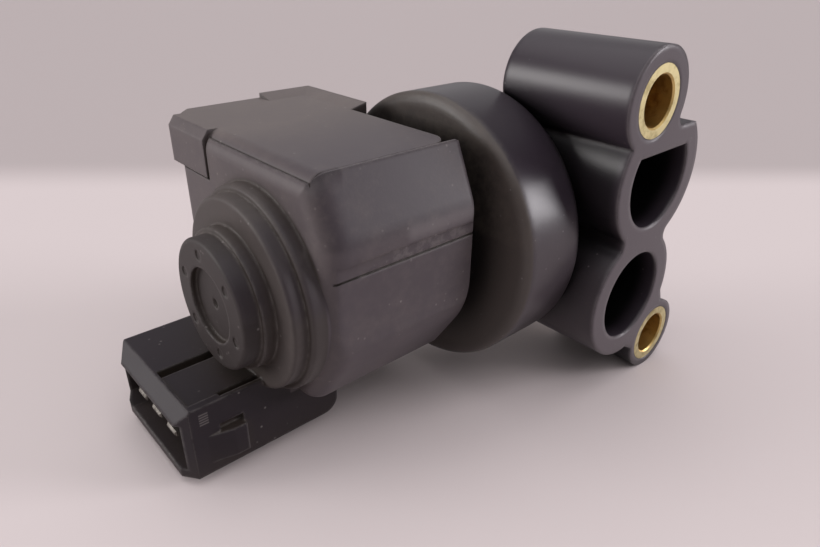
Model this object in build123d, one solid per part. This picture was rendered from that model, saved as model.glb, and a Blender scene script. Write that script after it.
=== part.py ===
"""Idle air control valve: a moulded coil housing with its plug socket, and a two-port valve body.

The model is built about the main axis, with x = 0 at the end cap and +X towards the valve body,
and is then moved so that the origin is midway between the two bolts on the mounting face.
All sizes are in millimetres.
"""
import math
import os

from build123d import *

# Mounting face and bolts
face_standoff = 26.4        # mounting face to main axis
bolt_mid_x = 65.75          # end cap to the middle of the bolts
bolt_mid_z = 0.25           # main axis up to the middle of the bolts
bolt_step_x = 13.6          # from bolt to bolt along the axis
bolt_step_z = 44.8          # from bolt to bolt in height
bolt_hole_radius = 3.8
bushing_wall = 1.55
upper_boss_wall = 2.5
lower_boss_wall = 1.4
upper_boss_length = 22.9
lower_boss_length = 17.4

# Air ports on the mounting face
round_port_radius = 7.75
round_port_x = 61.95
round_port_z = -10.1
round_port_wall = 3.4
flat_port_radius = 8.1
flat_port_x = 63.6
flat_port_z = 10.2
flat_port_rise = 4.35       # port centre up to its flat side
flat_port_wall = 3.25
port_stop = 8.0             # end of the round port short of the main axis
waist_fillet = 1.75
web_share = 0.58            # half-width of the lower web, as a share of the boss radius
web_margin = 1.0            # web past the round port's bore

# Valve chamber and collar
collar_radius = 22.3
collar_start = 38.1
collar_length = 12.5
collar_round = 0.9
chamber_radius = 13.5
chamber_wall = 2.8
chamber_start = 51.5
chamber_length = 20.5
chamber_floor = 2.8
core_depth = 7.0
core_wall = 2.6
core_ribs = 10
core_rib_width = 1.6

# End cap and hub rings
cap_radius = 9.2
cap_step_x = 2.4
cap_step = 0.7
cap_recess_radius = 5.3
cap_recess_depth = 0.9
cap_edge_round = 0.55
cap_pit_radius = 0.7
cap_pit_depth = 1.3
cap_dimple_ring = 7.0
cap_dimple_radius = 0.75
cap_dimple_depth = 0.15
cap_dimples = 6
cap_dimple_turn = 21.0      # degrees from the left side to the first dimple
ring_step = 1.0             # outer ring to inner ring, in radius
inner_ring_x = 4.2
outer_ring_radius = 14.7
outer_ring_x = 6.3

# Coil housing block
block_start = 8.4
block_end = 33.8
block_top = 18.85
block_bottom = 16.0
block_right = 15.8
block_left = 24.2
block_round = 1.5
block_front_round = 3.0
shoulder_z = 10.4           # where the right side starts to lean in
shoulder_round = 6.5
label_right = 11.6
label_margin = 0.5          # strip of the block beside the lid
side_panel_top = 8.0
side_panel_bottom = -5.4
side_panel_depth = 0.5
side_groove_drop = 1.9
side_groove_width = 0.35
bevel_foot = 8.6
bevel_round = 14.0          # bend from the right side into the bevel
left_foot_z = -6.0

# Terminal cover
cover_thickness = 2.0
cover_front = 9.2
cover_rear = 32.0
cover_long_rear = 35.0
cover_overhang = 2.9
cover_skirt_drop = 6.85
cover_tab_right = 13.6
cover_tab_side = 0.7        # tab past the left side of the block
cover_tab_thickness = 0.9
cover_tab_recess = 0.75     # depth of the tab's seat in the front of the block
cover_tab_slope = 1.35      # drop from the lid's top to the tab's front edge
cover_seam = 0.3
cover_corner = 3.2
cover_edge_round = 1.8
cover_step_y = 10.5
cover_rim_start = 25.2
cover_rim_height = 0.75
cover_rim_width = 3.2

# Plug socket
socket_front = -8.4
socket_end = 16.4
socket_right = -4.2
socket_width = 22.5
socket_top = -11.6
socket_height = 11.5
socket_wall = 1.3
socket_roof = 2.6
socket_depth = 15.0
socket_bevel_length = 1.8
socket_bevel_drop = 2.7
socket_side_bevel = 2.2
socket_side_depth = 1.6
socket_corner = 2.4
socket_panel_depth = 0.35
socket_slot_depth = 1.2
socket_slot_start = -2.0
latch_ramp_x = -4.7
latch_ramp_length = 3.5
latch_crest_length = 1.9
latch_ramp_height = 4.6
latch_ramp_rise = 0.9
latch_ramp_low = 1.7        # socket bottom up to the ramp
latch_slot_length = 3.5
latch_slot_height = 1.2
latch_slot_depth = 0.7

# Terminals
terminal_width = 2.8
terminal_thickness = 0.8
terminal_pitch = 5.0
terminal_reach = 14.4       # free length in the socket
terminal_root = 6.0         # length held in the moulding
terminal_drop = 4.9         # socket top down to the terminal
terminal_shift = 1.4        # middle terminal to the right of the socket's middle

# Rotor and bearings
shaft_radius = 2.0
shaft_start = 3.4
shaft_end = 64.0
running_gap = 0.04
bush_wall = 2.0
front_bush_start = 3.6
front_bush_length = 5.9
rear_bush_start = 31.0
rear_bush_length = 7.0
washer_thickness = 0.6
washer_radius = 3.6
clip_thickness = 0.6
clip_radius = 3.4
clip_groove = 0.4
clip_gap = 1.2
seal_start = 39.5
seal_length = 3.0
seal_radius = 6.0
seal_lip = 1.0

# Stator
yoke_radius = 13.8
yoke_wall = 1.7
yoke_start = 10.5
yoke_end = 29.0
pole_width = 4.4
pole_start = 14.0
pole_end = 25.5
pole_shoe_width = 7.6
pole_shoe_height = 0.9
air_gap = 0.5
bobbin_wall = 0.6
bobbin_flange = 0.6
bobbin_height = 4.0
winding_build = 1.9
magnet_radius = 5.5
magnet_start = 13.0
magnet_end = 26.5
carrier_radius = 3.4
carrier_flange_radius = 5.2
carrier_flange = 1.2

# Neck that plugs into the collar
neck_radius = 11.0
neck_end = 50.0
neck_seal_x = 40.8
neck_seal_section = 0.9

# Rotary slide
slide_gap = 0.3
slide_wall = 1.5
slide_disc = 1.7
slide_hub_radius = 4.5
slide_hub_length = 9.0
slide_span = 62.0           # degrees of the curved shutter
slide_rest_angle = 78.0     # middle of the shutter at rest, up from the port side

# Clearances
seat_gap = 0.05             # between parts that are pressed or moulded together
edge_break = 0.25           # small chamfer on turned edges

floor_z = socket_top - socket_height
bushing_radius = bolt_hole_radius + bushing_wall
upper_boss_radius = bushing_radius + upper_boss_wall
lower_boss_radius = bushing_radius + lower_boss_wall
upper_bolt = (bolt_mid_x - bolt_step_x / 2, bolt_mid_z + bolt_step_z / 2)
lower_bolt = (bolt_mid_x + bolt_step_x / 2, bolt_mid_z - bolt_step_z / 2)
socket_left = socket_right + socket_width
socket_mid_y = (socket_right + socket_left) / 2
chamber_end = chamber_start + chamber_length
inner_ring_radius = outer_ring_radius - ring_step


def rod(radius, start, end):
    """A solid cylinder along the main axis."""
    return extrude(Plane.YZ.offset(start) * Circle(radius), end - start)


def tube(outer, inner, start, end):
    """A plain ring along the main axis."""
    return extrude(Plane.YZ.offset(start) * (Circle(outer) - Circle(inner)), end - start)


def block(x_range, y_range, z_range):
    """A box between two corners."""
    size = [high - low for low, high in (x_range, y_range, z_range)]
    corner = [low for low, high in (x_range, y_range, z_range)]
    return Pos(*corner) * Box(*size, align=Align.MIN)


def turned(points):
    """A solid of revolution about the main axis, from (x, radius) points."""
    return revolve(make_face(Polyline(*points, close=True)), Axis.X)


def on_face(depth):
    """A sketch plane parallel to the mounting face, at a depth behind it."""
    return Plane.XZ.offset(face_standoff - depth)


def from_face(sketch, depth, start=0.0):
    """A sketch on the mounting face, made solid back towards the main axis."""
    return extrude(on_face(start) * sketch, -(depth - start))


def at(point, sketch):
    return Pos(point[0], point[1]) * sketch


# Coil housing

def hub():
    """The stepped end cap, turned about the main axis."""
    recess_back = cap_recess_depth
    profile = [
        (recess_back, 0),
        (recess_back, cap_recess_radius),
        (0, cap_recess_radius),
        (0, cap_radius),
        (cap_step_x, cap_radius),
        (cap_step_x, cap_radius + cap_step),
        (inner_ring_x, cap_radius + cap_step),
        (inner_ring_x, inner_ring_radius),
        (outer_ring_x, inner_ring_radius),
        (outer_ring_x, outer_ring_radius),
        (block_start + block_front_round, outer_ring_radius),
        (block_start + block_front_round, 0),
    ]
    body = turned(profile)
    rims = body.edges().filter_by(GeomType.CIRCLE)
    leading = []
    for x, radius in ((0, cap_radius), (inner_ring_x, inner_ring_radius), (outer_ring_x, outer_ring_radius)):
        leading.append(rims.sort_by_distance((x, 0, radius))[0])
    body = fillet(leading, cap_edge_round)
    body -= rod(cap_pit_radius, 0, cap_pit_depth)
    for index in range(cap_dimples):
        angle = cap_dimple_turn + 360 / cap_dimples * index
        dimple = Pos(0, cap_dimple_ring, 0) * rod(cap_dimple_radius, -cap_dimple_depth, cap_dimple_depth)
        body -= Rot(angle, 0, 0) * dimple
    return body


def housing_block():
    """The block round the coils: leaning right side, bevelled foot and a straight left side."""
    outline = Polyline(
        (-bevel_foot, -block_bottom),
        (-block_right, side_panel_bottom),
        (-block_right, shoulder_z),
        (-label_right - label_margin, block_top),
        (block_left, block_top),
        (block_left, left_foot_z),
        (socket_left, left_foot_z - (block_left - socket_left)),
        (socket_left, -block_bottom),
        close=True,
    )
    section = make_face(outline)
    corners = section.vertices()
    shoulder = corners.sort_by_distance((-block_right, shoulder_z))[0]
    foot = corners.sort_by_distance((-bevel_foot, -block_bottom))[0]
    section = fillet(shoulder, shoulder_round)
    section = fillet(section.vertices().sort_by_distance((foot.X, foot.Y))[0], cover_corner)
    section = fillet(section.vertices().sort_by_distance((-block_right, side_panel_bottom))[0], bevel_round)
    body = extrude(Plane.YZ.offset(block_start) * section, block_end - block_start)
    ends = body.faces().sort_by(Axis.X)
    body = fillet(ends[0].edges(), block_front_round)
    body = fillet(body.faces().sort_by(Axis.X)[-1].edges(), block_round)
    inset = -block_right + side_panel_depth
    reach = (block_start - block_round, block_end + block_round)
    body -= block(reach, (-block_right - block_round, inset), (-block_bottom, side_panel_top))
    groove_top = side_panel_top - side_groove_drop
    groove = (inset - side_panel_depth, inset + side_groove_width)
    body -= block(reach, groove, (groove_top - side_groove_width, groove_top))
    return body


def socket_shell():
    """The outside of the plug socket, with its bevelled mouth and one keyed lower corner."""
    top = socket_top
    body = block((socket_front, socket_end), (socket_right, socket_left), (floor_z, top))
    keyed = body.edges().filter_by(Axis.X).group_by(Axis.Z)[0].sort_by(Axis.Y)[-1]
    body = chamfer(keyed, socket_corner)
    mouth = body.faces().sort_by(Axis.X)[0]
    roof_edge = mouth.edges().sort_by(Axis.Z)[-1]
    body = chamfer(roof_edge, socket_bevel_drop, socket_bevel_length, reference=mouth)
    for side in (0, -1):
        mouth = body.faces().filter_by(Axis.X).sort_by(Axis.X)[0]
        side_edge = mouth.edges().filter_by(Axis.Z).sort_by(Axis.Y)[side]
        body = chamfer(side_edge, socket_side_bevel, socket_side_depth, reference=mouth)
    rear = body.faces().sort_by(Axis.X)[-1].edges().sort_by(Axis.Z)[0]
    body = fillet(rear, socket_corner)
    panel_front = socket_front + socket_bevel_length + socket_panel_depth
    panel_floor = top - socket_panel_depth
    slot_floor = panel_floor - socket_slot_depth
    inner_right = socket_right + socket_wall
    half_wall = socket_wall / 2
    body -= block((panel_front, socket_end), (inner_right, socket_mid_y), (panel_floor, top))
    body -= block((panel_front, block_start), (socket_mid_y - socket_wall, socket_mid_y), (slot_floor, top))
    return body - block((socket_slot_start, block_start),
                        (inner_right - half_wall, inner_right + half_wall), (slot_floor, top))


def latch_ramp(side):
    """The wedge on one end of the socket that the plug's spring clips behind."""
    wall = socket_right if side < 0 else socket_left
    rise = side * latch_ramp_rise
    crest = latch_ramp_x + latch_ramp_length
    wedge = make_face(Polyline(
        (latch_ramp_x, wall),
        (crest, wall + rise),
        (crest + latch_crest_length, wall + rise),
        (crest + latch_crest_length, wall - rise),
        (latch_ramp_x, wall - rise),
        close=True,
    ))
    return extrude(Plane.XY.offset(floor_z + latch_ramp_low) * wedge, latch_ramp_height)


def latch_slot(side):
    """The slot above a ramp."""
    wall = socket_right if side < 0 else socket_left
    end = latch_ramp_x + latch_ramp_length + latch_crest_length
    low = floor_z + latch_ramp_low + latch_ramp_height
    return block((end - latch_slot_length, end), (wall - latch_slot_depth, wall + latch_slot_depth),
                 (low, low + latch_slot_height))


def socket_cavity():
    """The space that the plug enters."""
    space = block((socket_front - socket_wall, socket_front + socket_depth),
                  (socket_right + socket_wall, socket_left - socket_wall),
                  (floor_z + socket_wall, socket_top - socket_roof))
    keyed = space.edges().filter_by(Axis.X).group_by(Axis.Z)[0].sort_by(Axis.Y)[-1]
    return chamfer(keyed, socket_corner - socket_wall / 2)


def terminal_at(index, extra=0.0):
    """One flat terminal; extra widens it all round to make the slot that holds it."""
    middle = socket_mid_y - terminal_shift + index * terminal_pitch
    back = socket_front + socket_depth
    top = socket_top - terminal_drop
    body = block((back - terminal_reach, back + terminal_root + extra),
                 (middle - terminal_width / 2 - extra, middle + terminal_width / 2 + extra),
                 (top - terminal_thickness - extra, top + extra))
    return body


def terminal(index):
    body = terminal_at(index)
    tip = body.faces().sort_by(Axis.X)[0].edges()
    return chamfer(tip, edge_break)


def cover_recess():
    """The pocket in the top of the block that the cover drops into."""
    floor = block_top - cover_thickness
    over = block_top + cover_thickness
    left = block_left + block_round
    front = block_start - block_round
    tab_bottom = block_top - cover_skirt_drop - cover_seam
    tab_right = cover_tab_right - cover_seam
    pocket = block((cover_front - seat_gap, block_end + block_round), (-label_right - seat_gap, left),
                   (floor, over))
    pocket += block((front, cover_front), (tab_right, left), (floor, over))
    return pocket + block((front, block_start + cover_tab_recess), (tab_right, left), (tab_bottom, over))


def neck():
    """The spigot that plugs into the collar, with the groove for its seal."""
    body = rod(neck_radius, block_end - block_round * 2, neck_end)
    half = neck_seal_section + seat_gap
    floor = neck_radius - neck_seal_section * 2 - seat_gap
    return body - tube(neck_radius * 2, floor, neck_seal_x - half, neck_seal_x + half)


def bush_radius():
    return shaft_radius + running_gap + bush_wall


def coil_housing():
    body = housing_block() + hub() + socket_shell() + neck()
    for side in (-1, 1):
        body += latch_ramp(side)
        body -= latch_slot(side)
    body -= cover_recess()
    body -= socket_cavity()
    for index in (-1, 0, 1):
        body -= terminal_at(index, seat_gap)
    front_bush_end = front_bush_start + front_bush_length
    rear_bush_end = rear_bush_start + rear_bush_length
    body -= rod(bush_radius() + seat_gap, front_bush_start, yoke_start)
    body -= rod(shaft_radius + bush_wall / 2, shaft_start - washer_thickness, front_bush_end)
    body -= rod(yoke_radius + seat_gap, yoke_start - seat_gap, yoke_end + seat_gap)
    body -= rod(bush_radius() + seat_gap, yoke_end, rear_bush_end + washer_thickness * 2)
    body -= rod(shaft_radius + bush_wall, rear_bush_end, seal_start)
    body -= rod(seal_radius + seat_gap, seal_start, neck_end + seat_gap)
    return body


def terminal_cover():
    """The printed lid: a plate with a raised rear corner, a left skirt and a front tab."""
    floor = block_top - cover_thickness
    left = block_left + cover_overhang
    plate = make_face(Polyline(
        (cover_front, -label_right),
        (cover_rear, -label_right),
        (cover_rear, cover_step_y),
        (cover_long_rear, cover_step_y),
        (cover_long_rear, left),
        (cover_front + cover_corner, left),
        (cover_front, left - cover_corner),
        close=True,
    ))
    plate = fillet(plate.vertices().sort_by_distance((cover_rear, -label_right))[0], cover_corner)
    body = extrude(Plane.XY.offset(floor) * plate, cover_thickness)
    front_edge = body.edges().filter_by(Axis.Y).group_by(Axis.Z)[-1].sort_by(Axis.X)[0]
    body = fillet(front_edge, cover_edge_round)
    skirt_bottom = block_top - cover_skirt_drop
    body += block((cover_front + cover_corner, cover_long_rear), (block_left + seat_gap, left),
                  (skirt_bottom, floor))
    return body + cover_tab() + cover_rim()


def cover_tab():
    """The lip at the lid's front left corner that folds down over the block."""
    floor = block_top - cover_thickness + seat_gap
    bottom = block_top - cover_skirt_drop
    back = block_start + cover_tab_recess - seat_gap
    front = back - cover_tab_thickness
    root = cover_front + cover_corner
    left = block_left + cover_tab_side
    lip = make_face(Polyline(
        (front, bottom),
        (front, block_top - cover_tab_slope),
        (cover_front, block_top),
        (root, block_top),
        (root, floor),
        (back, floor),
        (back, bottom),
        close=True,
    ))
    body = extrude(Plane.XZ.offset(-left) * lip, left - cover_tab_right)
    return body + block((back, root), (block_left + seat_gap, left), (bottom, floor))


def cover_rim():
    """The shoulder that rises along the left and rear edges of the lid."""
    left = block_left + cover_overhang
    crest = block_top + cover_rim_height
    side = make_face(Polyline(
        (left - cover_rim_width, block_top),
        (left, crest),
        (left, block_top - cover_rim_height),
        (left - cover_rim_width, block_top - cover_rim_height),
        close=True,
    ))
    along = extrude(Plane.YZ.offset(cover_rim_start) * side, cover_long_rear - cover_rim_start)
    end = make_face(Polyline(
        (cover_long_rear - cover_rim_width, block_top),
        (cover_long_rear, crest),
        (cover_long_rear, block_top - cover_rim_height),
        (cover_long_rear - cover_rim_width, block_top - cover_rim_height),
        close=True,
    ))
    across = extrude(Plane.XZ.offset(-left) * end, left - cover_step_y)
    return along + across


# Stator

def pole_height(x_width, radius):
    """Distance from the axis to the chord of a given width on a circle."""
    return math.sqrt(radius ** 2 - (x_width / 2) ** 2)


def stator_yoke():
    inner = yoke_radius - yoke_wall
    return tube(yoke_radius, inner, yoke_start, yoke_end)


def pole(side):
    """One pole core: a stem from the yoke with a curved shoe facing the magnet."""
    tip = magnet_radius + air_gap
    root = pole_height(pole_width, yoke_radius - yoke_wall) - seat_gap
    stem = block((pole_start, pole_end), (-pole_width / 2, pole_width / 2), (tip, root))
    shoe = block((pole_start, pole_end), (-pole_shoe_width / 2, pole_shoe_width / 2),
                 (0, tip + pole_shoe_height))
    core = stem + shoe - rod(tip, yoke_start, yoke_end)
    core = core.solids().sort_by(Axis.Z)[-1]
    return core if side > 0 else Rot(180, 0, 0) * core


def bobbin_span():
    low = magnet_radius + air_gap + pole_shoe_height + seat_gap
    return low, low + bobbin_height


def frame_ring(outer, inner, low, high):
    """A rectangular ring round a pole stem, grown evenly from the stem's own section."""
    length = pole_end - pole_start
    middle = (pole_start + pole_end) / 2
    outside = RectangleRounded(length + outer * 2, pole_width + outer * 2, outer - seat_gap)
    inside = Rectangle(length + inner * 2, pole_width + inner * 2)
    return extrude(Plane.XY.offset(low) * (Pos(middle, 0) * (outside - inside)), high - low)


def bobbin(side):
    low, high = bobbin_span()
    rim = bobbin_wall + winding_build
    body = frame_ring(bobbin_wall, seat_gap, low, high)
    body += frame_ring(rim, seat_gap, low, low + bobbin_flange)
    body += frame_ring(rim, seat_gap, high - bobbin_flange, high)
    return body if side > 0 else Rot(180, 0, 0) * body


def winding(side):
    low, high = bobbin_span()
    start = low + bobbin_flange + seat_gap
    end = high - bobbin_flange - seat_gap
    body = frame_ring(bobbin_wall + winding_build - seat_gap * 2, bobbin_wall + seat_gap, start, end)
    return body if side > 0 else Rot(180, 0, 0) * body


# Bearings and seals

def bush(start, length):
    body = tube(bush_radius(), shaft_radius + running_gap, start, start + length)
    rims = body.edges().filter_by(GeomType.CIRCLE).sort_by(SortBy.RADIUS)[-2:]
    return chamfer(rims, edge_break)


def shaft_seal():
    """A lip seal: an outer shell with a thin web that reaches in to the shaft."""
    end = seal_start + seal_length
    lip = shaft_radius + running_gap
    profile = [
        (seal_start, lip),
        (seal_start, seal_radius),
        (end, seal_radius),
        (end, seal_radius - seal_lip),
        (seal_start + seal_lip, seal_radius - seal_lip),
        (seal_start + seal_lip, lip + seal_lip),
        (end - seal_lip, lip + seal_lip / 2),
        (end - seal_lip, lip),
    ]
    return turned(profile)


def neck_seal():
    middle = neck_radius - neck_seal_section
    ring = Pos(neck_seal_x, middle, 0) * Circle(neck_seal_section)
    return revolve(ring, Axis.X)


# Rotor

def rotor_shaft():
    body = rod(shaft_radius, shaft_start, shaft_end)
    body = chamfer(body.edges().filter_by(GeomType.CIRCLE), edge_break)
    groove = clip_start()
    return body - tube(shaft_radius * 2, shaft_radius - clip_groove, groove, groove + clip_thickness)


def clip_start():
    return rear_bush_start + rear_bush_length + washer_thickness / 2


def shaft_clip():
    start = clip_start()
    ring = tube(clip_radius, shaft_radius - clip_groove + seat_gap, start + seat_gap,
                start + clip_thickness - seat_gap)
    opening = block((start, start + clip_thickness), (-clip_gap / 2, clip_gap / 2), (0, clip_radius * 2))
    return ring - opening


def thrust_washer():
    start = front_bush_start + front_bush_length + washer_thickness / 2
    return tube(washer_radius, shaft_radius + seat_gap, start, start + washer_thickness)


def magnet_carrier():
    start = front_bush_start + front_bush_length + washer_thickness * 1.5 + seat_gap
    body = tube(carrier_radius, shaft_radius + seat_gap, start, magnet_end)
    flange = magnet_start - carrier_flange
    return body + tube(carrier_flange_radius, shaft_radius + seat_gap, flange, magnet_start - seat_gap)


def rotor_magnet():
    body = tube(magnet_radius, carrier_radius + seat_gap, magnet_start, magnet_end)
    rims = body.edges().filter_by(GeomType.CIRCLE).sort_by(SortBy.RADIUS)[-2:]
    return chamfer(rims, edge_break)


def rotary_slide():
    """The shutter: a disc on the shaft that carries a curved wall past the upper port."""
    outer = chamber_radius - slide_gap
    start = chamber_start + slide_gap
    end = chamber_end - slide_gap
    body = rod(outer, start, start + slide_disc)
    body += rod(slide_hub_radius, start, start + slide_hub_length)
    wall = tube(outer, outer - slide_wall, start, end)
    half = math.radians(slide_span / 2)
    reach = outer * 2
    wedge = make_face(Polyline((0, 0), (-reach * math.cos(half), reach * math.sin(half)),
                               (-reach * math.cos(half), -reach * math.sin(half)), close=True))
    sector = extrude(Plane.YZ.offset(start) * wedge, end - start)
    shutter = wall & sector
    body += Rot(-slide_rest_angle, 0, 0) * shutter
    half_disc = block((start, start + slide_disc), (-outer, outer), (-outer, -slide_hub_radius))
    body -= half_disc
    return body - rod(shaft_radius + seat_gap, start, shaft_end + seat_gap)


# Valve body

def port_outline():
    """The rim of the mounting face round both ports."""
    flat_outer = flat_port_radius + flat_port_wall
    upper = at((flat_port_x, flat_port_z), Circle(flat_outer))
    top = flat_port_z + flat_port_rise + flat_port_wall
    trim = Pos(flat_port_x, top + flat_outer) * Rectangle(flat_outer * 4, flat_outer * 2)
    lower = at((round_port_x, round_port_z), Circle(round_port_radius + round_port_wall))
    outline = upper - trim + lower
    waist_z = (flat_port_z - flat_port_radius + round_port_z + round_port_radius) / 2
    notches = [v for v in outline.vertices() if abs(v.Y - waist_z) < flat_port_wall]
    return fillet(notches, waist_fillet)


def flat_port():
    """The upper port: a circle cut off by a flat."""
    circle = Circle(flat_port_radius)
    cut = Pos(0, flat_port_rise + flat_port_radius) * Rectangle(flat_port_radius * 4, flat_port_radius * 2)
    return at((flat_port_x, flat_port_z), circle - cut)


def round_port():
    return at((round_port_x, round_port_z), Circle(round_port_radius))


def lower_web():
    """The straight-sided web from the lower boss to the round port."""
    boss = at(lower_bolt, Circle(lower_boss_radius * web_share))
    port = at((round_port_x, round_port_z), Circle(round_port_radius + web_margin))
    return make_hull(boss.edges() + port.edges())


def flange_outline():
    """The mounting face: the rim round both ports, the boss ends and the web."""
    upper = at(upper_bolt, Circle(upper_boss_radius))
    lower = at(lower_bolt, Circle(lower_boss_radius))
    outline = port_outline() + upper + lower + lower_web()
    rim_top = flat_port_z + flat_port_rise + flat_port_wall
    notch = outline.vertices().sort_by_distance((upper_bolt[0] + upper_boss_radius, rim_top))[0]
    return fillet(notch, waist_fillet)


def core_pockets():
    """The hollow behind the collar, with ribs left between the pockets."""
    collar_end = collar_start + collar_length
    inner = chamber_radius + chamber_wall
    outer = collar_radius - core_wall
    ring = tube(outer, inner, collar_end - core_depth, collar_end)
    for index in range(core_ribs):
        rib = block((collar_end - core_depth, collar_end), (0, outer * 2),
                    (-core_rib_width / 2, core_rib_width / 2))
        ring -= Rot(360 / core_ribs * index, 0, 0) * rib
    return ring


def valve_body():
    collar_end = collar_start + collar_length
    collar = rod(collar_radius, collar_start, collar_end)
    collar = fillet(collar.edges().filter_by(GeomType.CIRCLE), collar_round)
    collar -= core_pockets()
    chamber = rod(chamber_radius + chamber_wall, collar_end - collar_round, chamber_end + chamber_floor)
    chamber = fillet(chamber.edges().filter_by(GeomType.CIRCLE).sort_by(Axis.X)[-1], collar_round)
    body = collar + chamber
    body += from_face(port_outline(), face_standoff)
    body += from_face(flange_outline(), lower_boss_length)
    upper_boss = from_face(at(upper_bolt, Circle(upper_boss_radius)), upper_boss_length)
    upper_boss = fillet(upper_boss.edges().filter_by(GeomType.CIRCLE).sort_by(Axis.Y)[-1], collar_round)
    body += upper_boss
    body -= rod(chamber_radius, chamber_start, chamber_end)
    body -= rod(neck_radius + seat_gap, collar_start - collar_round, chamber_start + seat_gap)
    body -= from_face(round_port(), face_standoff - port_stop)
    body -= from_face(flat_port(), face_standoff - chamber_wall)
    for bolt in (upper_bolt, lower_bolt):
        body -= from_face(at(bolt, Circle(bushing_radius + seat_gap)), face_standoff)
    return body


def bushing(bolt, length):
    """A brass sleeve pressed into a boss so that the bolt bears on metal."""
    ring = at(bolt, Circle(bushing_radius) - Circle(bolt_hole_radius))
    body = from_face(ring, length)
    mouths = body.edges().filter_by(GeomType.CIRCLE).group_by(SortBy.RADIUS)[0]
    return chamfer(mouths, edge_break)


def build():
    nodes = {
        "coil_housing": coil_housing(),
        "terminal_cover": terminal_cover(),
        "terminal_right": terminal(-1),
        "terminal_middle": terminal(0),
        "terminal_left": terminal(1),
        "stator_yoke": stator_yoke(),
        "upper_pole": pole(1),
        "lower_pole": pole(-1),
        "upper_bobbin": bobbin(1),
        "lower_bobbin": bobbin(-1),
        "upper_winding": winding(1),
        "lower_winding": winding(-1),
        "front_bush": bush(front_bush_start, front_bush_length),
        "rear_bush": bush(rear_bush_start, rear_bush_length),
        "shaft_seal": shaft_seal(),
        "neck_seal": neck_seal(),
        "rotor_shaft": rotor_shaft(),
        "shaft_clip": shaft_clip(),
        "thrust_washer": thrust_washer(),
        "magnet_carrier": magnet_carrier(),
        "rotor_magnet": rotor_magnet(),
        "rotary_slide": rotary_slide(),
        "valve_body": valve_body(),
        "upper_bushing": bushing(upper_bolt, upper_boss_length),
        "lower_bushing": bushing(lower_bolt, lower_boss_length),
    }
    os.makedirs("parts", exist_ok=True)
    to_mount = Pos(-bolt_mid_x, face_standoff, -bolt_mid_z)
    for name, shape in nodes.items():
        export_step(to_mount * shape, f"parts/{name}.step")


build()
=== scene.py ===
import math

import bpy
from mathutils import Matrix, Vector

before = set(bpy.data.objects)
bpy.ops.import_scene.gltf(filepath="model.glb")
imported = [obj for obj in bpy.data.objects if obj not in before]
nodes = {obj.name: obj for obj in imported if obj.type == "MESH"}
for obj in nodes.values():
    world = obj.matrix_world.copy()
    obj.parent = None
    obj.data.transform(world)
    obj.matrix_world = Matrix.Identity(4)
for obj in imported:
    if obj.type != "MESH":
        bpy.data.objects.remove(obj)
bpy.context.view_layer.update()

print("frame loaded:", len(nodes), "nodes")


# node helpers

traceSamples = 6  # rays of the edge and corner nodes
cornerSpread = (0.80, 0.30)  # open to closed corner
speckCore = 0.35  # full strength inside this share of a speck


def startMaterial(name):
    material = bpy.data.materials.new(name)
    material.use_nodes = True
    tree = material.node_tree
    shader = tree.nodes["Principled BSDF"]
    place = tree.nodes.new("ShaderNodeTexCoord")
    return material, tree, shader, place.outputs["Object"]


def noise(tree, place, scale, detail=4.0, rough=0.55, warp=0.0):
    node = tree.nodes.new("ShaderNodeTexNoise")
    node.inputs["Scale"].default_value = scale
    node.inputs["Detail"].default_value = detail
    node.inputs["Roughness"].default_value = rough
    node.inputs["Distortion"].default_value = warp
    tree.links.new(place, node.inputs["Vector"])
    return node.outputs["Fac"]


def specks(tree, place, scale, size):
    node = tree.nodes.new("ShaderNodeTexVoronoi")
    node.inputs["Scale"].default_value = scale
    node.inputs["Randomness"].default_value = 1.0
    tree.links.new(place, node.inputs["Vector"])
    return band(tree, node.outputs["Distance"], size, size * speckCore)


def band(tree, value, low, high):  # 0 at low, 1 at high
    node = tree.nodes.new("ShaderNodeMapRange")
    node.interpolation_type = "SMOOTHSTEP"
    node.inputs["From Min"].default_value = low
    node.inputs["From Max"].default_value = high
    tree.links.new(value, node.inputs["Value"])
    return node.outputs["Result"]


def mathNode(tree, operation, first, second):
    node = tree.nodes.new("ShaderNodeMath")
    node.operation = operation
    node.use_clamp = True
    for socket, value in zip(node.inputs, (first, second)):
        if isinstance(value, (int, float)):
            socket.default_value = value
        else:
            tree.links.new(value, socket)
    return node.outputs["Value"]


def times(tree, first, second):
    return mathNode(tree, "MULTIPLY", first, second)


def plus(tree, first, second):
    return mathNode(tree, "ADD", first, second)


def mixColor(tree, factor, first, second):
    node = tree.nodes.new("ShaderNodeMix")
    node.data_type = "RGBA"
    slots = (node.inputs["Factor"], node.inputs[6], node.inputs[7])
    for socket, value in zip(slots, (factor, first, second)):
        if isinstance(value, tuple):
            socket.default_value = (*value, 1.0)
        else:
            tree.links.new(value, socket)
    return node.outputs[2]


def split(tree, vector):
    node = tree.nodes.new("ShaderNodeSeparateXYZ")
    tree.links.new(vector, node.inputs["Vector"])
    return node.outputs["X"], node.outputs["Y"], node.outputs["Z"]


def surfaceNormal(tree):
    return tree.nodes.new("ShaderNodeNewGeometry").outputs["Normal"]


def edgeMask(tree, radius, low, high):  # 1 on sharp edges
    soft = tree.nodes.new("ShaderNodeBevel")
    soft.samples = traceSamples
    tree.links.new(radius, soft.inputs["Radius"])
    dot = tree.nodes.new("ShaderNodeVectorMath")
    dot.operation = "DOT_PRODUCT"
    tree.links.new(soft.outputs["Normal"], dot.inputs[0])
    tree.links.new(surfaceNormal(tree), dot.inputs[1])
    return band(tree, dot.outputs["Value"], high, low), soft.outputs["Normal"]


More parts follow.
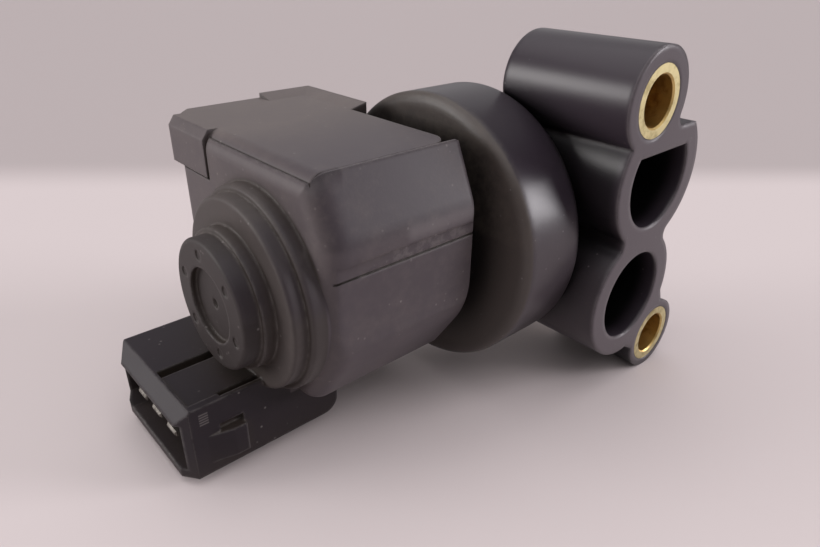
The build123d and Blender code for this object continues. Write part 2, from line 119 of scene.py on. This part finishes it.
def bumpOn(tree, height, strength, distance, normal=None):
    node = tree.nodes.new("ShaderNodeBump")
    node.inputs["Strength"].default_value = strength
    node.inputs["Distance"].default_value = distance
    tree.links.new(height, node.inputs["Height"])
    if normal is not None:
        tree.links.new(normal, node.inputs["Normal"])
    return node.outputs["Normal"]


# zones on the mouldings, in metres

axisCentre = (0.0264, -0.00025)  # y and z of the main axis


def boxMask(tree, place, ranges, soft):  # 1 inside the box, None leaves a side open
    mask = None
    for value, limits in zip(split(tree, place), ranges):
        for limit, outward in zip(limits or (), (-soft, soft)):
            if limit is None:
                continue
            edge = band(tree, value, limit + outward, limit)
            mask = edge if mask is None else times(tree, mask, edge)
    return mask


def distanceFrom(tree, place, along, centre):  # radius about a line along X or Y
    x, y, z = split(tree, place)
    join = tree.nodes.new("ShaderNodeCombineXYZ")
    for socket, value, shift in zip(("X", "Y"), (y, z) if along == "X" else (x, z), centre):
        node = tree.nodes.new("ShaderNodeMath")
        node.operation = "SUBTRACT"
        node.inputs[1].default_value = shift
        tree.links.new(value, node.inputs[0])
        tree.links.new(node.outputs["Value"], join.inputs[socket])
    length = tree.nodes.new("ShaderNodeVectorMath")
    length.operation = "LENGTH"
    tree.links.new(join.outputs["Vector"], length.inputs[0])
    return length.outputs["Value"]


def zoneMask(tree, place, zone):
    mask = boxMask(tree, place, zone["box"], zone["soft"])
    if "radius" in zone:
        radius = distanceFrom(tree, place, zone["along"], zone["centre"])
        mask = times(tree, mask, band(tree, radius, *zone["radius"]))
    return mask


# painted shade: this mask darkens tight corners, recesses and gaps, together with some dirt
def creviceDirtAndShade(tree, distance):  # 1 in tight corners
    node = tree.nodes.new("ShaderNodeAmbientOcclusion")
    node.samples = traceSamples
    node.inputs["Distance"].default_value = distance
    return band(tree, node.outputs["AO"], *cornerSpread)


# moulded plastics

plasticGrain = {
    "broad": (95.0, 5.0, 0.6, 0.4),  # scale, detail, roughness, warp
    "fine": (700.0, 6.0, 0.7),
    "cloudShares": (0.6, 0.4),  # broad and fine noise in the dust film
    "upFaces": (0.5, 0.97),
    "frontFaces": (-0.3, -0.95),
    "hollowShare": 0.75,
    "edgeSpread": (0.84, 0.99),
    "wornSpread": (0.30, 0.62),
    "gritSpread": (0.46, 0.62),
    "grainNoise": (3.0, 0.6),
    "grainShare": 0.25,
    "bumpStrength": 0.6,
}
socketTone = {"clean": (0.0105, 0.0072, 0.0105), "dust": (0.026, 0.0200, 0.0250)}
ringTone = {"clean": (0.042, 0.035, 0.034), "dust": (0.100, 0.085, 0.080)}
ringReach = {"along": "X", "centre": axisCentre, "radius": (0.0153, 0.0148)}
# painted shade: near-black colour deep inside the port bores
portShadeTone = {"clean": (0.0016, 0.0014, 0.0016), "dust": (0.003, 0.0026, 0.003)}
portDepth = {"box": (None, (0.0040, 0.0190), None), "soft": 0.0036, "along": "Y"}
housingFinish = {
    "clean": (0.066, 0.055, 0.062),
    "dust": (0.150, 0.128, 0.121),
    # dirt colour, also laid as painted shade into corners and hollows
    "dirtAndShade": (0.040, 0.031, 0.025),
    "scuff": (0.30, 0.275, 0.265),
    "hollow": (0.0022, 0.012),
    "filmSpread": (0.42, 0.72),
    "filmShare": 0.28,
    "topDustAndSheen": 0.68,
    "topSheenAcross": (0.014, 0.046),  # painted sheen: top faces paler towards the left of the lid, over the dust there
    "frontDust": 0.20,
    "grain": 2600.0,
    "bumpDepth": 0.00005,
    "uneven": 0.0,
    "roughness": (0.46, 0.62),
    "sheen": 0.24,
    "edgeRadius": 0.0006,
    "edgeShare": 0.22,
    "softEdge": {"box": ((-0.0576, -0.0530), (None, 0.0146), (-0.0116, None)), "soft": 0.0010,
                 "extra": 0.0018},
    "speckScale": 620.0,
    "speckSize": 0.15,
    "speckShare": 0.34,
    "zones": {
        "socketFront": {"box": ((None, -0.0576), None, (None, -0.0116)), "soft": 0.0003,
                        **socketTone},
        "socketRear": {"box": (None, None, (None, -0.0165)), "soft": 0.0003, **socketTone},
        "rings": {"box": ((-0.0637, -0.05735), None, (-0.0114, None)), "soft": 0.0003,
                  **ringReach, **ringTone},
        "ringFoot": {"box": ((-0.0637, -0.05735), (None, 0.0219), (-0.0155, -0.0114)), "soft": 0.0002,
                     **ringReach, **ringTone},
        "cap": {"box": ((None, -0.0637), None, (-0.0105, None)), "soft": 0.0004,
                "along": "X", "centre": axisCentre, "radius": (0.0096, 0.0091),
                "clean": (0.018, 0.0138, 0.0138), "dust": (0.050, 0.042, 0.041)},
    },
    # painted shade: faces turned to the right and a little up get a darker colour
    "lean": {"across": (-0.25, -0.55), "up": (0.05, 0.25), "color": (0.034, 0.027, 0.033), "share": 0.62},
    "marksAndHighlight": {
        # painted highlight: a pale band along the lower edge of the shoulder
        "paintedShoulderHighlight": {"box": ((-0.0440, None), (None, 0.0125), (0.0091, 0.0095)), "soft": 0.0016,
                          "color": (0.20, 0.182, 0.187), "share": 0.34, "fine": (0.05, 0.45)},
        "rubbedStrip": {"box": ((-0.0470, -0.0330), (None, 0.0113), (0.0059, 0.0075)), "soft": 0.0003,
                        "color": (0.30, 0.275, 0.265), "share": 0.14, "fine": (0.45, 0.60)},
    },
    "ribs": {"box": ((-0.0712, -0.0700), (0.0215, 0.0226), (-0.0148, -0.0129)), "soft": 0.0001,
             "scale": 780.0, "share": 0.25},
}
bodyFinish = {
    "clean": (0.0255, 0.0192, 0.0268),
    "dust": (0.085, 0.073, 0.074),
    # near-black painted shade for ports, gaps and undersides, with a little dirt
    "dirtAndShade": (0.003, 0.0026, 0.003),
    "scuff": (0.24, 0.22, 0.225),
    "hollow": (0.009, 0.009),
    "filmSpread": (0.50, 0.95),
    "filmShare": 0.22,
    "topDustAndSheen": 0.03,
    "topSheenAcross": (-0.02, -0.01),
    "frontDust": 0.10,
    "grain": 2100.0,
    "bumpDepth": 0.00004,
    "uneven": 0.5,
    "roughness": (0.33, 0.48),
    "sheen": 0.36,
    "edgeRadius": 0.0011,
    "edgeShare": 0.22,
    "softEdge": {"box": ((-0.0280, -0.0235), None, None), "soft": 0.0008, "extra": 0.0014},
    "speckScale": 560.0,
    "speckSize": 0.12,
    "speckShare": 0.40,
    "zones": {
        # painted light: the lower collar is paler, fading out upwards
        "paintedLowerCollarLight": {"box": ((None, -0.0150), None, (None, 0.0020)), "soft": 0.0080,
                        "clean": (0.044, 0.036, 0.042), "dust": (0.100, 0.086, 0.086)},
        "collarFace": {"box": ((None, -0.0270), None, None), "soft": 0.0006,
                       "clean": (0.058, 0.048, 0.044), "dust": (0.110, 0.092, 0.082)},
        # painted shadow: the side of the flat port under the boss is darkened where the collar and boss
        # shade it
        "paintedPortShadow": {"box": ((-0.0150, -0.0090), (0.0020, 0.0200), (0.0000, 0.0150)), "soft": 0.0020,
                     "clean": (0.010, 0.0078, 0.0105), "dust": (0.028, 0.024, 0.026)},
        "rim": {"box": (None, (None, 0.0002), None), "soft": 0.0002,
                "clean": (0.070, 0.058, 0.068), "dust": (0.105, 0.090, 0.094)},
        # painted shade inside the round and flat ports
        "roundPortShade": {"centre": (-0.0038, -0.01035), "radius": (0.0086, 0.0082), **portDepth, **portShadeTone},
        "flatPortShade": {"centre": (-0.00215, 0.00995), "radius": (0.0090, 0.0086), **portDepth, **portShadeTone},
    },
    "marksAndHighlight": {
        "settledDust": {"box": ((-0.0285, -0.0265), None, (0.004, None)), "soft": 0.0012,
                        "color": (0.100, 0.083, 0.068), "share": 0.22, "fine": (0.30, 0.70)},
    },
}


def zoneColors(tree, place, finish):  # clean colour and dust colour all over
    clean, dust = finish["clean"], finish["dust"]
    for zone in finish["zones"].values():
        mask = zoneMask(tree, place, zone)
        clean = mixColor(tree, mask, clean, zone["clean"])
        dust = mixColor(tree, mask, dust, zone["dust"])
    return clean, dust


# dust film, with a painted sheen on the lid's top faces
def dustAndSheenFilm(tree, place, finish, broad, fine):
    broadShare, fineShare = plasticGrain["cloudShares"]
    cloud = plus(tree, times(tree, broad, broadShare), times(tree, fine, fineShare))
    film = times(tree, band(tree, cloud, *finish["filmSpread"]), finish["filmShare"])
    facing = split(tree, surfaceNormal(tree))
    # up faces get dust, and towards the left of the lid a painted sheen
    across = band(tree, split(tree, place)[1], *finish["topSheenAcross"])
    upDustAndSheen = times(tree, band(tree, facing[2], *plasticGrain["upFaces"]), across)
    front = band(tree, facing[0], *plasticGrain["frontFaces"])
    film = plus(tree, film, times(tree, upDustAndSheen, finish["topDustAndSheen"]))
    return plus(tree, film, times(tree, front, finish["frontDust"]))


# painted shade on the shoulder faces
def leaningSide(tree, lean):  # faces that turn to the right and a little up
    facing = split(tree, surfaceNormal(tree))
    mask = times(tree, band(tree, facing[1], *lean["across"]), band(tree, facing[2], *lean["up"]))
    return times(tree, mask, lean["share"])


def mouldedPlastic(name, finish):
    material, tree, shader, place = startMaterial(name)
    broad = noise(tree, place, *plasticGrain["broad"])
    fine = noise(tree, place, *plasticGrain["fine"])
    film = dustAndSheenFilm(tree, place, finish, broad, fine)
    clean, dust = zoneColors(tree, place, finish)
    # painted shade on faces that lean to the right
    if "lean" in finish:
        clean = mixColor(tree, leaningSide(tree, finish["lean"]), clean, finish["lean"]["color"])
    color = mixColor(tree, film, clean, dust)
    # painted shade and dirt darken corners and hollows
    for distance in finish["hollow"]:
        hollow = times(tree, creviceDirtAndShade(tree, distance), plasticGrain["hollowShare"])
        color = mixColor(tree, hollow, color, finish["dirtAndShade"])
    # dust and rub marks, and the painted shoulder highlight
    for mark in finish["marksAndHighlight"].values():
        mask = times(tree, zoneMask(tree, place, mark), band(tree, fine, *mark["fine"]))
        color = mixColor(tree, times(tree, mask, mark["share"]), color, mark["color"])
    if "ribs" in finish:
        wave = tree.nodes.new("ShaderNodeTexWave")
        wave.bands_direction = "Z"
        wave.inputs["Scale"].default_value = finish["ribs"]["scale"]
        tree.links.new(place, wave.inputs["Vector"])
        rib = times(tree, zoneMask(tree, place, finish["ribs"]), wave.outputs["Fac"])
        color = mixColor(tree, times(tree, rib, finish["ribs"]["share"]), color, finish["scuff"])
    softMask = zoneMask(tree, place, finish["softEdge"])
    radius = plus(tree, times(tree, softMask, finish["softEdge"]["extra"]), finish["edgeRadius"])
    worn, rounded = edgeMask(tree, radius, *plasticGrain["edgeSpread"])
    worn = times(tree, worn, band(tree, fine, *plasticGrain["wornSpread"]))
    worn = times(tree, worn, mathNode(tree, "SUBTRACT", 1.0, softMask))
    color = mixColor(tree, times(tree, worn, finish["edgeShare"]), color, finish["scuff"])
    grit = specks(tree, place, finish["speckScale"], finish["speckSize"])
    grit = times(tree, grit, band(tree, broad, *plasticGrain["gritSpread"]))
    color = mixColor(tree, times(tree, grit, finish["speckShare"]), color, finish["scuff"])
    tree.links.new(color, shader.inputs["Base Color"])
    rough = tree.nodes.new("ShaderNodeMapRange")
    rough.inputs["To Min"].default_value, rough.inputs["To Max"].default_value = finish["roughness"]
    tree.links.new(film, rough.inputs["Value"])
    tree.links.new(rough.outputs["Result"], shader.inputs["Roughness"])
    grain = noise(tree, place, finish["grain"], *plasticGrain["grainNoise"])
    grain = times(tree, grain, plasticGrain["grainShare"])
    height = plus(tree, grain, times(tree, fine, finish["uneven"]))
    normal = bumpOn(tree, height, plasticGrain["bumpStrength"], finish["bumpDepth"], rounded)
    tree.links.new(normal, shader.inputs["Normal"])
    shader.inputs["Specular IOR Level"].default_value = finish["sheen"]
    return material


# turned and plated metals

metalGrain = {
    "patchNoise": (5.0, 0.62, 0.3),
    "patchSpread": (0.42, 0.70),
    "lineScale": 6,  # tool lines finer than the patches
    "lineNoise": (2.0, 0.5),
    "endFaces": (-0.6, -0.9),
    "tarnishRoughness": 0.22,
    "bump": (0.3, 0.00002),
}
metalFinishes = {
    "brassSleeve": {"base": (0.60, 0.40, 0.13), "tarnish": (0.30, 0.16, 0.05),
                    "face": (0.60, 0.53, 0.29), "faceTarnish": (0.30, 0.245, 0.11),
                    "roughness": 0.34, "scale": 420.0},
    "platedPin": {"base": (0.17, 0.158, 0.145), "tarnish": (0.065, 0.057, 0.050),
                  "roughness": 0.46, "scale": 900.0},
    "machinedSteel": {"base": (0.50, 0.50, 0.51), "tarnish": (0.34, 0.33, 0.32),
                      "roughness": 0.36, "scale": 300.0},
    "windingCopper": {"base": (0.55, 0.22, 0.10), "tarnish": (0.32, 0.11, 0.05),
                      "roughness": 0.38, "scale": 900.0},
    "bearingBronze": {"base": (0.44, 0.31, 0.16), "tarnish": (0.28, 0.18, 0.09),
                      "roughness": 0.46, "scale": 800.0},
    "ferrite": {"base": (0.10, 0.10, 0.11), "tarnish": (0.06, 0.06, 0.065),
                "roughness": 0.55, "scale": 700.0},
}


def turnedMetal(name, finish):
    material, tree, shader, place = startMaterial(name)
    patches = noise(tree, place, finish["scale"], *metalGrain["patchNoise"])
    lines = noise(tree, place, finish["scale"] * metalGrain["lineScale"], *metalGrain["lineNoise"])
    tone = band(tree, patches, *metalGrain["patchSpread"])
    color = mixColor(tree, tone, finish["base"], finish["tarnish"])
    if "face" in finish:
        face = mixColor(tree, tone, finish["face"], finish["faceTarnish"])
        outward = band(tree, split(tree, surfaceNormal(tree))[1], *metalGrain["endFaces"])
        color = mixColor(tree, outward, color, face)
    tree.links.new(color, shader.inputs["Base Color"])
    shader.inputs["Metallic"].default_value = 1.0
    rough = tree.nodes.new("ShaderNodeMapRange")
    rough.inputs["To Min"].default_value = finish["roughness"]
    rough.inputs["To Max"].default_value = finish["roughness"] + metalGrain["tarnishRoughness"]
    tree.links.new(patches, rough.inputs["Value"])
    tree.links.new(rough.outputs["Result"], shader.inputs["Roughness"])
    tree.links.new(bumpOn(tree, lines, *metalGrain["bump"]), shader.inputs["Normal"])
    return material


# plain inner mouldings and rubber

innerGrain = {
    "tone": (300.0, 5.0, 0.6),
    "toneSpread": (0.4, 0.65),
    "grain": (2400.0, 3.0),
    "bump": (0.3, 0.00003),
}
innerFinishes = {
    "bobbinNylon": {"base": (0.52, 0.47, 0.37), "shade": (0.40, 0.35, 0.26), "roughness": 0.5},
    "slideNylon": {"base": (0.085, 0.073, 0.06), "shade": (0.055, 0.047, 0.04), "roughness": 0.45},
    "sealRubber": {"base": (0.018, 0.018, 0.018), "shade": (0.03, 0.029, 0.028), "roughness": 0.7},
}


def innerMoulding(name, finish):
    material, tree, shader, place = startMaterial(name)
    tone = noise(tree, place, *innerGrain["tone"])
    color = mixColor(tree, band(tree, tone, *innerGrain["toneSpread"]), finish["base"], finish["shade"])
    tree.links.new(color, shader.inputs["Base Color"])
    shader.inputs["Roughness"].default_value = finish["roughness"]
    grain = noise(tree, place, *innerGrain["grain"])
    tree.links.new(bumpOn(tree, grain, *innerGrain["bump"]), shader.inputs["Normal"])
    return material


finishOf = {
    "housingPlastic": mouldedPlastic("housingPlastic", housingFinish),
    "bodyPlastic": mouldedPlastic("bodyPlastic", bodyFinish),
}
for name, finish in metalFinishes.items():
    finishOf[name] = turnedMetal(name, finish)
for name, finish in innerFinishes.items():
    finishOf[name] = innerMoulding(name, finish)
print("finishes made:", len(finishOf))

dressing = {
    "housingPlastic": ("coil_housing", "terminal_cover"),
    "bodyPlastic": ("valve_body",),
    "brassSleeve": ("upper_bushing", "lower_bushing"),
    "platedPin": ("terminal_right", "terminal_middle", "terminal_left"),
    "machinedSteel": ("stator_yoke", "upper_pole", "lower_pole",
                      "rotor_shaft", "shaft_clip", "thrust_washer"),
    "bobbinNylon": ("upper_bobbin", "lower_bobbin"),
    "windingCopper": ("upper_winding", "lower_winding"),
    "bearingBronze": ("front_bush", "rear_bush"),
    "ferrite": ("rotor_magnet",),
    "slideNylon": ("magnet_carrier", "rotary_slide"),
    "sealRubber": ("shaft_seal", "neck_seal"),
}
for finishName, pieceNames in dressing.items():
    for pieceName in pieceNames:
        slots = nodes[pieceName].data.materials
        slots.clear()
        slots.append(finishOf[finishName])
print("nodes dressed")


# floor, light and camera

stageSetup = {
    "floorSize": 14.0,
    "floorZ": -0.02881,
    "floorTilt": 3.05,  # degrees, so that the socket and the lower boss lie on the floor
    "near": (0.600, 0.538, 0.539),
    "far": (0.425, 0.378, 0.380),
    "floorRoughness": 0.85,
    "floorSheen": 0.1,
    "horizonNormal": (-0.2088, -0.2488, -0.9458),  # plane through the camera where the floor turns darker
    "horizonSoft": 0.005,
    "cameraPlace": (-0.093926, -0.043714, 0.042282),
    "cameraTurn": (62.186, -0.633, -41.855),
    "lens": 27.707,
    "sensor": 36.0,
    "clip": (0.005, 10.0),
    "world": (0.80, 0.76, 0.77),
    "worldStrength": 0.24,
}
lampSetup = {
    "leftWindow": {"from": (-0.788, 0.581, 0.205), "spread": 28.0, "strength": 2.1,
                   "color": (1.0, 0.97, 0.96)},
    "rightWindow": {"from": (0.772, -0.595, 0.224), "spread": 22.0, "strength": 1.8,
                    "color": (1.0, 0.96, 0.99)},
    "topPanel": {"from": (-0.12, -0.05, 1.0), "spread": 90.0, "strength": 2.2,
                 "color": (1.0, 0.97, 0.98)},
    "backPanel": {"from": (0.594, 0.655, 0.467), "spread": 50.0, "strength": 0.25,
                  "color": (1.0, 0.98, 0.98)},
}


def layFloor(setup):
    bpy.ops.object.select_all(action="DESELECT")
    tilt = (0, math.radians(setup["floorTilt"]), 0)
    middle = (0, 0, setup["floorZ"])
    bpy.ops.mesh.primitive_plane_add(size=setup["floorSize"], location=middle, rotation=tilt)
    floor = bpy.context.object
    floor.name = "paleFloor"
    bpy.ops.object.transform_apply(location=True, rotation=True, scale=True)
    material, tree, shader, place = startMaterial("paleFloor")
    across = tree.nodes.new("ShaderNodeVectorMath")
    across.operation = "SUBTRACT"
    across.inputs[1].default_value = setup["cameraPlace"]
    tree.links.new(place, across.inputs[0])
    dot = tree.nodes.new("ShaderNodeVectorMath")
    dot.operation = "DOT_PRODUCT"
    dot.inputs[1].default_value = setup["horizonNormal"]
    tree.links.new(across.outputs["Vector"], dot.inputs[0])
    away = band(tree, dot.outputs["Value"], setup["horizonSoft"], -setup["horizonSoft"])
    tree.links.new(mixColor(tree, away, setup["near"], setup["far"]), shader.inputs["Base Color"])
    shader.inputs["Roughness"].default_value = setup["floorRoughness"]
    shader.inputs["Specular IOR Level"].default_value = setup["floorSheen"]
    floor.data.materials.append(material)


def hangLamp(name, setup):
    way = Vector(setup["from"]).normalized()
    bpy.ops.object.light_add(type="SUN", location=way)
    lamp = bpy.context.object
    lamp.name = name
    lamp.data.angle = math.radians(setup["spread"])
    lamp.data.energy = setup["strength"]
    lamp.data.color = setup["color"]
    lamp.rotation_euler = (-way).to_track_quat("-Z", "Y").to_euler()


layFloor(stageSetup)
for name, setup in lampSetup.items():
    hangLamp(name, setup)

world = bpy.data.worlds.new("tentLight")
world.use_nodes = True
sky = world.node_tree.nodes["Background"]
sky.inputs["Color"].default_value = (*stageSetup["world"], 1.0)
sky.inputs["Strength"].default_value = stageSetup["worldStrength"]
bpy.context.scene.world = world

cameraTurn = [math.radians(angle) for angle in stageSetup["cameraTurn"]]
bpy.ops.object.camera_add(location=stageSetup["cameraPlace"], rotation=cameraTurn)
camera = bpy.context.object
camera.data.lens = stageSetup["lens"]
camera.data.sensor_width = stageSetup["sensor"]
camera.data.clip_start, camera.data.clip_end = stageSetup["clip"]
bpy.context.scene.camera = camera
bpy.context.scene.view_settings.view_transform = "Standard"
print("stage set")
